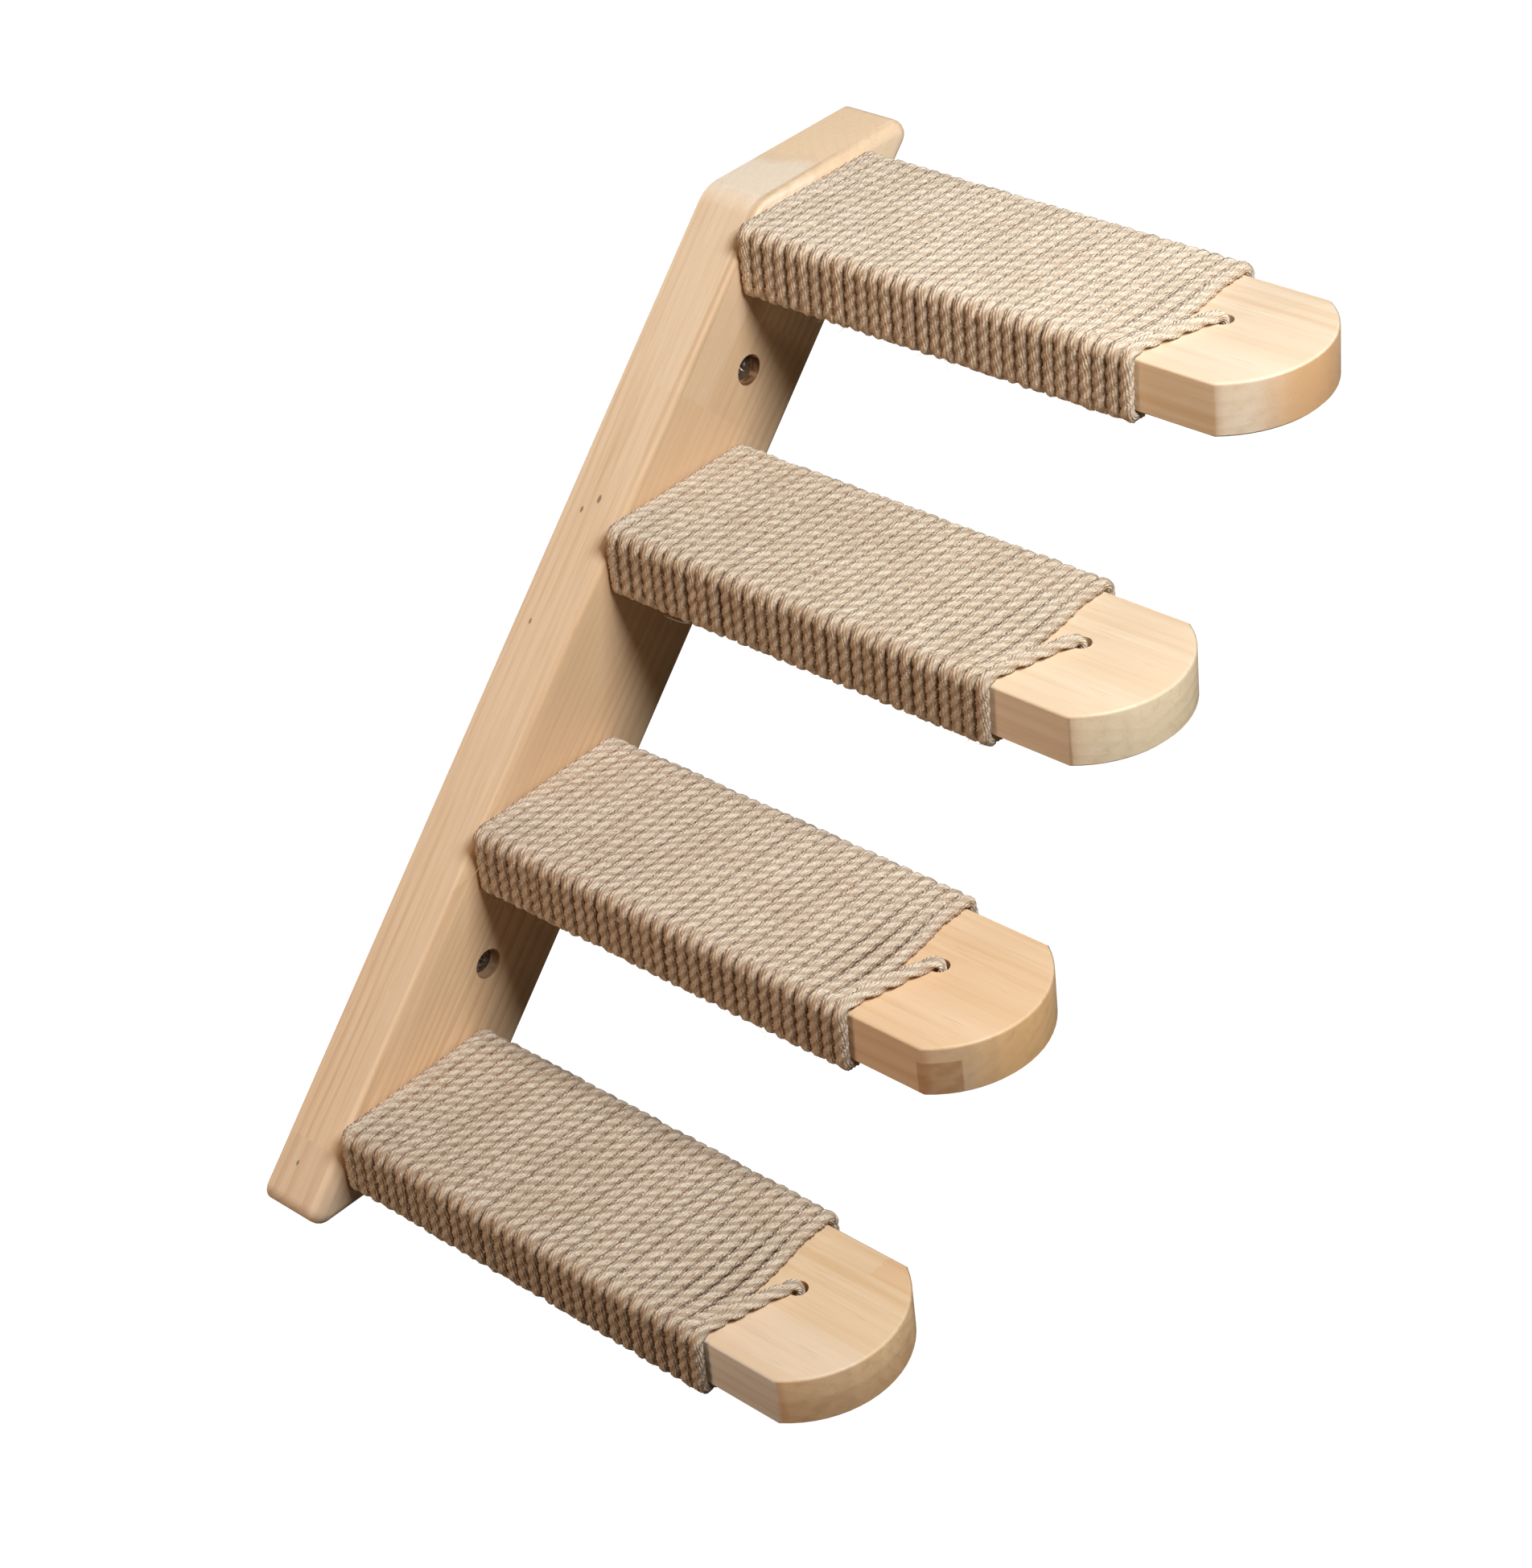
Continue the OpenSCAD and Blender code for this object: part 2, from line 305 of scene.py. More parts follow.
def wood(name, centre, axes, pale, warm, end_grain, seed, joints, strip_at, ring, ring_strength, tilt,
         patches, specks=(), calm_from=None):
    """Light finger-jointed softwood; axes are the directions along, across and through its grain."""
    material, tree, shader = new_material(name)
    local = vector_math(tree, "SUBTRACT", object_place(tree), centre)
    u, v, w = [vector_math(tree, "DOT_PRODUCT", local, way, "Value") for way in axes]
    turned = node(tree, "ShaderNodeCombineXYZ", {0: u, 1: v, 2: w}).outputs[0]

    # The blocks' ends interlock in short fingers; each block has three random numbers of its own
    finger = math_node(tree, "PINGPONG", v, FINGER_HALF * MM)
    along = multiply_add(tree, finger, FINGER_SLOPE, u)
    number = add(tree, block_numbers(tree, along, v, joints, strip_at), seed)
    random = node(tree, "ShaderNodeTexWhiteNoise", {"W": number}, noise_dimensions="1D")
    chance = node(tree, "ShaderNodeSeparateColor", {0: random.outputs["Color"]}).outputs

    calm = 1.0
    if calm_from is not None:
        calm = span(tree, u, (calm_from - CALM_CHANGE) * MM, (calm_from + CALM_CHANGE) * MM, 1.0, CALM_LEFT)
    rings = multiply(tree, growth_rings(tree, turned, u, v, w, chance, ring, tilt), calm)

    # Fibres, streaks and pores drawn out along the grain
    fibre = noise(tree, turned, FIBRE_SCALE, 3.0, 0.6)
    streak = noise(tree, turned, STREAK_SCALE, 3.0, 0.6)
    cloud = noise(tree, turned, CLOUD_SCALE)
    band = noise(tree, turned, BAND_SCALE)
    pores = span(tree, noise(tree, turned, PORE_SCALE, 1.0), 0.70, 0.80)
    facing = vector_math(tree, "DOT_PRODUCT", surface_normal(tree), axes[0], "Value")
    end = span(tree, math_node(tree, "ABSOLUTE", facing), 0.75, 1.0)

    # Each block's own tone, with pale bands, end grain and patches, some of them painted light and shade
    tone = multiply_add(tree, chance[2], 0.55, multiply(tree, cloud, 0.45))
    base = mix(tree, tone, colour(pale), colour(warm))
    base = mix(tree, span(tree, band, 0.45, 0.65, 0.0, 0.5), base, colour(pale, BAND_SHARE))
    base = mix(tree, multiply(tree, end, 0.8), base, colour(end_grain))
    for tint, amount, soft, limits in patches:
        mottle = span(tree, streak, 0.3, 0.7, 0.6 * amount, amount)
        cover = patch_cover(tree, along, v, w, cloud, soft, limits)
        base = mix(tree, multiply(tree, cover, mottle), base, colour(tint))

    # Late wood in rings, streaks and fibres, then pores and specks
    late = colour(warm, LATE_SHARE)
    streaks = multiply(tree, span(tree, streak, 0.45, 0.8, 0.0, 0.42), calm)
    for amount in (multiply(tree, rings, ring_strength), streaks, span(tree, fibre, 0.35, 0.75, 0.0, 0.18)):
        base = mix(tree, amount, base, late)
    base = mix(tree, multiply(tree, pores, 0.25), base, colour(PORE_TINT))
    for at, size in specks:
        base = mix(tree, speck_cover(tree, turned, at, size), base, colour(SPECK_TINT))

    rough = span(tree, multiply_add(tree, rings, 0.4, fibre), 0.3, 1.1, 0.46, 0.66)
    relief = add(tree, multiply(tree, fibre, 0.5), multiply(tree, rings, 0.3))
    relief = subtract(tree, relief, multiply(tree, pores, 0.8))
    set_surface(tree, shader, base, rough, relief, strength=0.35, depth=0.12)
    shader.inputs["Specular IOR Level"].default_value = 0.35
    return material


# The board's glue line across it, and its joints, its change of tint and its calm end along it
GLUE_LINE = -6.0
LOW_JOINT = -176.5
RIGHT_LOW_JOINT = -60.0
TINT_CHANGE = -56.0
HIGH_JOINT = 86.5
RIGHT_HIGH_JOINT = 120.0
CALM_END = 146.0
BOARD_WOOD = dict(
    # The base tints are darkened and warmed as painted shade for the board's front
    pale=(0.735, 0.505, 0.305), warm=(0.70, 0.44, 0.25), end_grain=(0.7, 0.45, 0.25), seed=3.0,
    joints=((HIGH_JOINT, "left"), (LOW_JOINT, "both"),
            (RIGHT_HIGH_JOINT, "right"), (RIGHT_LOW_JOINT, "right")),
    strip_at=GLUE_LINE, ring=3.0, ring_strength=0.4, tilt=0.012, calm_from=CALM_END,
    patches=(
        # The upper left side, paler partly as its own strip's tint and partly as painted light where it
        # faces the lamps; and the block at its top
        patch((1.0, 0.80, 0.57), 0.9, 0.6, v=(None, -26.2)),
        patch((0.95, 0.77, 0.56), 0.3, 0.4, u=(HIGH_JOINT, None), v=(None, -12.0)),
        # The two halves of the top end
        patch((1.0, 0.84, 0.66), 1.5, 6.5, u=(151.0, None), v=(None, GLUE_LINE)),
        patch((1.0, 0.74, 0.49), 1.5, 5.0, u=(RIGHT_HIGH_JOINT, None), v=(GLUE_LINE, None)),
        # The front's lower and middle stretches, lightened partly as the wood's own tone and partly as
        # painted light
        patch((1.0, 0.67, 0.40), 0.8, 0.5, u=(LOW_JOINT, TINT_CHANGE), w=(None, -23.3)),
        patch((0.92, 0.63, 0.38), 0.2, 0.5, u=(TINT_CHANGE, HIGH_JOINT), w=(None, -23.3)),
        # Painted shade along the long front edge and along the top end's front edge, where their rounding
        # catches the key light
        patch((0.58, 0.36, 0.19), 0.9, 0.9, u=(None, CALM_END), v=(None, -25.8), w=(None, -21.8)),
        patch((0.80, 0.57, 0.37), 1.0, 0.6, u=(140.0, None), w=(-23.8, -20.6)),
        # The block at the bottom
        patch((0.80, 0.63, 0.46), 0.7, 0.4, u=(None, LOW_JOINT)),
        # Painted shade in the bores of the two wall screws
        painted_bore_shade(-WALL_SCREW_SPAN / 2, 0.8),
        painted_bore_shade(WALL_SCREW_SPAN / 2, 1.4),
    ),
    specks=(((46.0, -28.0, -12.0), 0.9), ((41.0, -28.0, -7.0), 0.7),
            ((2.0, -28.0, -6.0), 0.6), ((-185.0, -28.0, -8.0), 0.6)),
)

# Where a step's left side and its round end are
LEFT_SIDE = dict(v=(None, -28.9))
ROUND_END = dict(u=(None, -205.5), w=(None, 8.3))

# What the steps' wood has in common, and each step's own
STEP_GRAIN = dict(joints=((-130.0, "right"),), ring=4.2, ring_strength=0.3, tilt=0.03)
STEP_WOOD = {
    "top": dict(
        pale=(0.83, 0.66, 0.48), warm=(0.79, 0.59, 0.40), end_grain=(0.78, 0.39, 0.15), seed=11.0,
        strip_at=13.0,
        patches=(
            # The left side, darkened as painted shade
            patch((0.77, 0.52, 0.29), 0.9, 0.3, **LEFT_SIDE),
        )),
    "upper": dict(
        pale=(0.83, 0.65, 0.46), warm=(0.79, 0.58, 0.38), end_grain=(1.0, 0.74, 0.47), seed=23.0,
        strip_at=-11.0,
        patches=(
            # The round end, lightened as painted light, and a crack beside it
            patch((1.0, 0.82, 0.56), 0.6, 0.4, **ROUND_END),
            patch((0.30, 0.16, 0.08), 0.7, 0.3, u=(-206.1, -205.1), v=(-29.6, -28.8)),
        )),
    "lower": dict(
        pale=(0.80, 0.57, 0.36), warm=(0.77, 0.51, 0.30), end_grain=(0.95, 0.54, 0.23), seed=37.0,
        strip_at=16.0,
        patches=(
            # A knot in the round end
            patch((0.42, 0.19, 0.07), 0.8, 0.3, u=(-214.5, -203.0), v=(-31.0, -21.5), w=(-10.0, 3.5)),
        )),
    "bottom": dict(
        pale=(0.80, 0.60, 0.40), warm=(0.75, 0.53, 0.32), end_grain=(1.0, 0.60, 0.28), seed=41.0,
        strip_at=8.0,
        patches=(
            # The paler left strip, and the left side, paler and greyer as painted light
            patch((0.80, 0.64, 0.48), 0.7, 0.4, v=(None, -6.5)),
            patch((0.93, 0.86, 0.76), 0.9, 0.3, **LEFT_SIDE),
            # The round end, lightened as painted light; its lower half, darkened as painted shade; and its
            # right corner
            patch((1.0, 0.64, 0.36), 1.6, 0.4, **ROUND_END),
            patch((0.74, 0.42, 0.21), 0.6, 1.0, u=(-225.0, -205.3), v=(-32.0, 16.0), w=(-10.0, 0.8)),
            patch((0.72, 0.44, 0.24), 0.7, 0.4, u=(-230.0, -198.5), v=(20.0, None)),
        )),
}

# Rope: how often each noise varies in a metre, along the strand and round it
JUTE_FIBRE_SCALE = (220.0, 5200.0, 1.0)
JUTE_COARSE_SCALE = (95.0, 1150.0, 1.0)
JUTE_FLECK_SCALE = (420.0, 2300.0, 1.0)
JUTE_BLOTCH_SCALE = 70.0
JUTE_SPECK_SCALE = (1500.0, 1500.0, 1500.0)

# How steeply the fibres and the yarns run round the rope, half a yarn's width, and how far yarns wander
FIBRE_LEAN = 0.6
YARN_LEAN = 1.1
YARN_HALF = 0.55
YARN_WANDER = 3.0

# Tints of the jute, and of the painted shade between its yarns, in its grooves, between its turns and on
# the turns' sides
JUTE_PALE = (0.96, 0.79, 0.60)
JUTE_WARM = (0.87, 0.69, 0.50)
JUTE_COARSE = (0.50, 0.33, 0.19)
JUTE_YARN_GAP_PAINTED_SHADE = (0.42, 0.26, 0.14)
JUTE_FIBRE = (1.0, 0.90, 0.76)
JUTE_BRIGHT_FLECK = (1.0, 0.93, 0.80)
JUTE_BROWN_FLECK = (0.40, 0.25, 0.14)
JUTE_BARK = (0.20, 0.12, 0.06)
JUTE_SPECK = (0.28, 0.16, 0.08)
JUTE_GROOVE_PAINTED_SHADE = (0.33, 0.17, 0.08)
JUTE_BETWEEN_TURNS_PAINTED_SHADE = (0.36, 0.18, 0.08)
JUTE_SIDE_PAINTED_SHADE = (0.93, 0.86, 0.78)

# Each rope's painted shade, which darkens each step's copy of the one jute by its own share, and the
# strength of the painted shade in its hollows on the broad faces
ROPE_LOOK = {
    "bottom": dict(painted_shade=(0.90, 0.89, 0.88), depth=0.9),
    "lower": dict(painted_shade=(0.94, 0.92, 0.91), depth=0.75),
    "upper": dict(painted_shade=(0.91, 0.89, 0.86), depth=0.65),
    "top": dict(painted_shade=(0.97, 0.95, 0.93), depth=0.4),
}


def rope_material(name, painted_shade, depth):
    """Twisted jute: dry fibres along the strands, painted shade between them, with flecks of bark."""
    material, tree, shader = new_material(name + "_jute")
    strand = node(tree, "ShaderNodeUVMap", uv_map="strand").outputs[0]
    run, around, _ = node(tree, "ShaderNodeSeparateXYZ", {0: strand}).outputs
    lean = multiply_add(tree, run, FIBRE_LEAN, around)
    fibre_at = node(tree, "ShaderNodeCombineXYZ", {0: run, 1: lean}).outputs[0]
    fibre = noise(tree, fibre_at, JUTE_FIBRE_SCALE, 3.0, 0.65)
    coarse = noise(tree, fibre_at, JUTE_COARSE_SCALE)
    fleck = noise(tree, fibre_at, JUTE_FLECK_SCALE, 1.0)
    place = object_place(tree)
    blotch = noise(tree, place, JUTE_BLOTCH_SCALE, 3.0)
    speck = noise(tree, place, JUTE_SPECK_SCALE, 1.0)
    across = add(tree, multiply_add(tree, run, YARN_LEAN, around), multiply(tree, blotch, YARN_WANDER * MM))
    yarn = math_node(tree, "DIVIDE", math_node(tree, "PINGPONG", across, YARN_HALF * MM), YARN_HALF * MM)
    crown = attribute(tree, "crown")
    gap = attribute(tree, "gap")

    # Painted shade: the parts of the turns that face sideways are darker and warmer, and the painted shade
    # in the hollows is weaker on the broad faces
    sideways = node(tree, "ShaderNodeSeparateXYZ", {0: surface_normal(tree)}).outputs[0]
    side = span(tree, math_node(tree, "ABSOLUTE", sideways), 0.35, 0.85)
    mark_and_painted_shade_strength = multiply_add(tree, side, 1.0 - depth, depth)
    groove_painted_shade_strength = multiply_add(tree, mark_and_painted_shade_strength, 0.65, 0.35)
    base = mix(tree, span(tree, blotch, 0.35, 0.65), colour(JUTE_PALE), colour(JUTE_WARM))
    base = layered(tree, base, (
        (multiply(tree, span(tree, coarse, 0.42, 0.68, 0.0, 0.5), mark_and_painted_shade_strength), JUTE_COARSE),
        # Painted shade between the yarns
        (span(tree, yarn, 0.0, 0.45, 0.22, 0.0), JUTE_YARN_GAP_PAINTED_SHADE),
        (span(tree, fibre, 0.4, 0.7, 0.0, 0.75), JUTE_FIBRE),
        (span(tree, fleck, 0.30, 0.46, 0.55, 0.0), JUTE_BRIGHT_FLECK),
        (span(tree, fleck, 0.55, 0.70, 0.0, 0.38), JUTE_BROWN_FLECK),
        (span(tree, fleck, 0.68, 0.74, 0.0, 0.7), JUTE_BARK),
        (span(tree, speck, 0.62, 0.72, 0.0, 0.55), JUTE_SPECK),
        # Painted shade in the grooves between the strands and in the gaps between the turns, weaker on the
        # broad faces
        (multiply(tree, span(tree, crown, 0.0, 0.7, 0.48, 0.0), groove_painted_shade_strength), JUTE_GROOVE_PAINTED_SHADE),
        (multiply(tree, span(tree, gap, 0.20, 0.9), span(tree, speck, 0.38, 0.6, 0.1, 0.9), mark_and_painted_shade_strength),
         JUTE_BETWEEN_TURNS_PAINTED_SHADE),
    ))
    # Painted shade on the sideways-facing parts of the turns
    base = mix(tree, side, base, colour(JUTE_SIDE_PAINTED_SHADE), "MULTIPLY")
    # Painted shade: this step's copy of the jute darkened by its own share
    base = mix(tree, 1.0, base, colour(painted_shade), "MULTIPLY")

    height = add(tree, multiply(tree, yarn, 0.8), multiply_add(tree, fibre, 0.6, coarse))
    rough = span(tree, fibre, 0.3, 0.8, 0.78, 0.95)
    set_surface(tree, shader, base, rough, height, strength=0.75, depth=0.55)
    shader.inputs["Specular IOR Level"].default_value = 0.2
    shader.inputs["Sheen Weight"].default_value = 0.15
    shader.inputs["Sheen Roughness"].default_value = 0.5
    return material


def fibre_material():
    """Single loose fibres, paler than the rope and a little shiny."""
    material, tree, shader = new_material("loose_fibre")
    tint = noise(tree, object_place(tree), 400.0)
    base = mix(tree, span(tree, tint, 0.3, 0.7), colour((0.86, 0.74, 0.58)), colour((0.60, 0.45, 0.30)))
    set_surface(tree, shader, base, span(tree, tint, 0.3, 0.7, 0.55, 0.8), tint, strength=0.3, depth=0.05)
    return material


# The winding: its turns, their first and last place along the step, and the rope's half width, half
# thickness and girth
TURNS = 31
FIRST_Y = -26.5
LAST_Y = -175.6
ROPE_ACROSS = 2.44
ROPE_OUT = 1.95
ROPE_GIRTH = 13.8

# The distance of its points on straights and in bends, and the spread of the turns' places
RING_STEP = 1.5
BEND_STEP = 1.1
DRIFT = 0.17
LIFT = 0.08

# The bends at the holes, and how deep the rope's ends stand in the step
HOLE_BEND = 2.6
START_SUNK = 7.5
TAIL_SUNK = 8.0
TAIL_BEND_STEPS = 4

# Below the step the first turns pass clear of the start hole: how far the first one does, how many turns
# do, and how far to either side of the hole
CLEARANCE = 2.75
CLEARANCE_TURNS = 9.0
CLEARANCE_HALF_W = 27.0

# Above the step the last turns lean to the tail: how far each does, and where it rises and falls back
LEAN_TO_TAIL = (0.3, 0.7, 1.3, 2.1, 3.1)
LEAN_RISE_FROM = -29.0
LEAN_RISE = 17.0
LEAN_FALL_TO = 17.0
LEAN_FALL = 28.0

# The tail's directions where it leaves the last turn and, beside its own heading, at its hole
TAIL_LEAVES = np.array([1.0, -0.03, 0.0])
TAIL_ARRIVES = np.array([0.0, -0.12, 0.0])
TAIL_LEAVE_PULL = 0.9
TAIL_ARRIVE_PULL = 0.6


def arc_points(cx, cz, radius, start, end):
    """Points and outward directions on an arc in the x-z plane; angles in degrees from +x to +z."""
    count = max(3, int(abs(math.radians(end - start)) * radius / BEND_STEP) + 1)
    for i in range(count):
        a = math.radians(start + (end - start) * i / count)
        yield cx + radius * math.cos(a), cz + radius * math.sin(a), math.cos(a), math.sin(a)


def loop_outline():
    """One turn round the step from its lower left bend: (x, z, out x, out z), about RING_STEP apart."""
    bend = STEP_EDGE + ROPE_OUT
    cx = STEP_HALF_W - STEP_EDGE
    cz = STEP_HALF_T - STEP_EDGE
    points = []

    # Each bend's centre and first angle, and the outward direction of the straight after it
    corners = ((-cx, -cz, 270, -1, 0), (-cx, cz, 180, 0, 1), (cx, cz, 90, 1, 0), (cx, -cz, 0, 0, -1))
    for corner, following in zip(corners, corners[1:] + corners[:1]):
        x, z, angle, ox, oz = corner
        points.extend(arc_points(x, z, bend, angle, angle - 90))
        far_x, far_z = following[:2]
        count = int(math.hypot(far_x - x, far_z - z) / RING_STEP)
        for i in range(count):
            t = i / count
            points.append((x + (far_x - x) * t + ox * bend, z + (far_z - z) * t + oz * bend, ox, oz))
    return np.array(points)


def start_points():
    """Down out of the blind hole, then left under the step."""
    depth = STEP_HALF_T + ROPE_OUT
    for z in np.arange(-STEP_HALF_T + START_SUNK, -depth + HOLE_BEND, -RING_STEP):
        yield (0.0, START_HOLE_Y, z), (1.0, 0.0, 0.0)
    for x, z, ox, oz in arc_points(-HOLE_BEND, -depth + HOLE_BEND, HOLE_BEND, 0, -90):
        yield (x, START_HOLE_Y, z), (ox, 0.0, oz)


def turn_points(rng):
    """The turns, from the start hole to the last turn's top."""
    loop = loop_outline()
    lengths = np.hypot(*(np.roll(loop[:, :2], -1, axis=0) - loop[:, :2]).T)
    passed = np.concatenate([[0], np.cumsum(lengths)])
    perimeter = passed[-1]
    pitch = (FIRST_Y - LAST_Y) / TURNS
    count = len(loop)
    drift = rng.normal(0, DRIFT, TURNS + 3)
    lift = rng.normal(0, LIFT, TURNS + 3)
    first = next(i for i in range(count) if loop[i, 3] < -0.999 and loop[i, 0] < -HOLE_BEND)
    last = next(i for i in range(count) if loop[i, 3] > 0.999)
    sequence = [(-1, i) for i in range(first, count)]
    sequence += [(n, i) for n in range(TURNS) for i in range(count)]
    sequence += [(TURNS, i) for i in range(last + 2)]
    for n, i in sequence:
        x, z, ox, oz = loop[i]
        part = passed[i] / perimeter
        y = FIRST_Y - pitch * (n + part)
        if oz < -0.9:
            clearance = CLEARANCE * share(1 - max(0, n) / CLEARANCE_TURNS)
            y -= clearance * math.cos(share(abs(x) / CLEARANCE_HALF_W) * math.pi / 2) ** 2
        if oz > 0.9 and TURNS - len(LEAN_TO_TAIL) <= n < TURNS:
            rise = share((x - LEAN_RISE_FROM) / LEAN_RISE) * share((LEAN_FALL_TO - x) / LEAN_FALL)
            y -= LEAN_TO_TAIL[n - TURNS] * rise * (2.0 - rise)
        y += drift[n + 1] * (1 - part) + drift[n + 2] * part
        up = lift[n + 1] * (1 - part) + lift[n + 2] * part
        yield (x + ox * up, min(y, FIRST_Y), z + oz * up), (ox, 0.0, oz)


def tail_points(start):
    """The tail crosses the step's top to its hole and turns down into it."""
    depth = STEP_HALF_T + ROPE_OUT
    hole = np.array([TIP_HOLE_X, TIP_HOLE_Y, depth])
    heading = hole - start
    heading[2] = 0
    heading /= np.linalg.norm(heading)
    end = hole - heading * HOLE_BEND
    reach = np.linalg.norm(end - start)
    leave = TAIL_LEAVES * reach * TAIL_LEAVE_PULL
    arrive = (heading + TAIL_ARRIVES) * reach * TAIL_ARRIVE_PULL
    steps = int(reach / RING_STEP)
    for i in range(1, steps + 1):
        t = i / steps
        point = ((2 * t ** 3 - 3 * t ** 2 + 1) * start + (t ** 3 - 2 * t ** 2 + t) * leave
                 + (-2 * t ** 3 + 3 * t ** 2) * end + (t ** 3 - t ** 2) * arrive)
        yield tuple(point), (0.0, 0.0, 1.0)
    for i in range(1, TAIL_BEND_STEPS + 1):
        a = math.radians(90 - 90 * i / TAIL_BEND_STEPS)
        side = heading * math.cos(a)
        down = np.array([0, 0, HOLE_BEND * math.sin(a) - HOLE_BEND])
        yield tuple(end + side * HOLE_BEND + down), (side[0], side[1], math.sin(a))
    for z in np.arange(depth - HOLE_BEND - RING_STEP, STEP_HALF_T - TAIL_SUNK, -RING_STEP):
        yield (hole[0], hole[1], z), (heading[0], heading[1], 0.0)


def winding_route(rng):
    """Centre line of one winding in the step's own place, with the direction away from the wood."""
    route = list(start_points()) + list(turn_points(rng))
    route += list(tail_points(np.array(route[-1][0])))
    points, outs = zip(*route)
    return np.array(points), np.array(outs)


# Each of the rope's strands has four lines of points: the angle from the strand's crown, in degrees, and
# how much deeper than the crown the line lies, as a share of the radius
STRANDS = 3
STRAND_LINES = ((-45, 0.12), (-15, 0.0), (15, 0.0), (45, 0.12))

# One twist's length, the range of the first angle, the slow changes of twist and thickness along the
# rope with their spread, and the spread of its points' radius
ROPE_LAY = 14.5
TWIST_RANGE = 6.28
CHANGES = 90
LAY_SPREAD = 0.05
THICK_SPREAD = 0.022
FUZZ = 0.018

# The power of the rope's round section, and of the squarer one to which neighbours squeeze a turn
OVAL = 2.0
SQUEEZED = 2.5

# From TAIL_LENGTH before the end, over TAIL_CHANGE, the rope turns into the tail, which has a longer
# twist, a rounder section and deeper hollows between its strands
TAIL_LENGTH = 48.0
TAIL_CHANGE = 12.0
TAIL_LAY = 0.5
TAIL_OUT = 0.15
TAIL_ACROSS = -0.25
TAIL_DEEPER = 1.3

# Its middle is wider: from how far before the end, over what length, and by how much
WIDE_FROM = 40.0
WIDE_LENGTH = 26.0
WIDER = 1.0


def unit_rows(vectors):
    return vectors / np.linalg.norm(vectors, axis=1)[:, None]


def strand_surface(rng, points, outs, across, run):
    """Points round each place of the rope, and how near each lies to the gap between two turns."""
    changes = np.linspace(0, run[-1], CHANGES)
    lay = np.interp(run, changes, ROPE_LAY * (1 + rng.normal(0, LAY_SPREAD, CHANGES)))
    thick = np.interp(run, changes, 1 + rng.normal(0, THICK_SPREAD, CHANGES))
    tail = np.clip((run - (run[-1] - TAIL_LENGTH)) / TAIL_CHANGE, 0, 1)
    lay = lay * (1 + TAIL_LAY * tail)
    twist = np.concatenate([[0], np.cumsum(np.diff(run) / lay[1:])]) * 2 * math.pi
    twist = twist + rng.uniform(0, TWIST_RANGE)
    power = SQUEEZED + (OVAL - SQUEEZED) * tail
    out_radius = ROPE_OUT + TAIL_OUT * tail
    wide = np.clip((run - (run[-1] - WIDE_FROM)) / WIDE_LENGTH, 0, 1)
    across_radius = ROPE_ACROSS + TAIL_ACROSS * tail + WIDER * np.sin(wide * math.pi) ** 2
    lines = [(360 / STRANDS * k + angle, deep) for k in range(STRANDS) for angle, deep in STRAND_LINES]
    verts = np.empty((len(run), len(lines), 3))
    gaps = np.empty((len(run), len(lines)))
    for j, (degrees, deep) in enumerate(lines):
        a = twist + math.radians(degrees)
        gaps[:, j] = np.abs(np.sin(a)) ** 4 * (1 - tail)
        full = (np.abs(np.cos(a)) ** power + np.abs(np.sin(a)) ** power) ** (-1 / power)
        grow = full * (1 - deep * (1 + TAIL_DEEPER * tail) + rng.normal(0, FUZZ, len(run))) * thick
        verts[:, j] = (points + outs * (np.cos(a) * grow * out_radius)[:, None]
                       + across * (np.sin(a) * grow * across_radius)[:, None])
    crowns = [0.0 if deep else 1.0 for _, deep in lines]
    return verts, gaps, crowns


def strand_uv(mesh, run, size):
    """A map in metres along the rope and round it, for the fibres of the material."""
    around = np.arange(size + 1) / size * ROPE_GIRTH * MM
    u0 = np.repeat(run[:-1, None], size, 1) * MM
    u1 = np.repeat(run[1:, None], size, 1) * MM
    v0 = np.repeat(around[None, :-1], len(run) - 1, 0)
    v1 = np.repeat(around[None, 1:], len(run) - 1, 0)
    loops = np.stack([np.stack([u0, v0], -1), np.stack([u0, v1], -1),
                      np.stack([u1, v1], -1), np.stack([u1, v0], -1)], 2).reshape(-1, 2)
    flat = np.zeros((len(mesh.loops), 2))
    flat[:len(loops)] = loops
    mesh.uv_layers.new(name="strand").data.foreach_set("uv", flat.ravel())


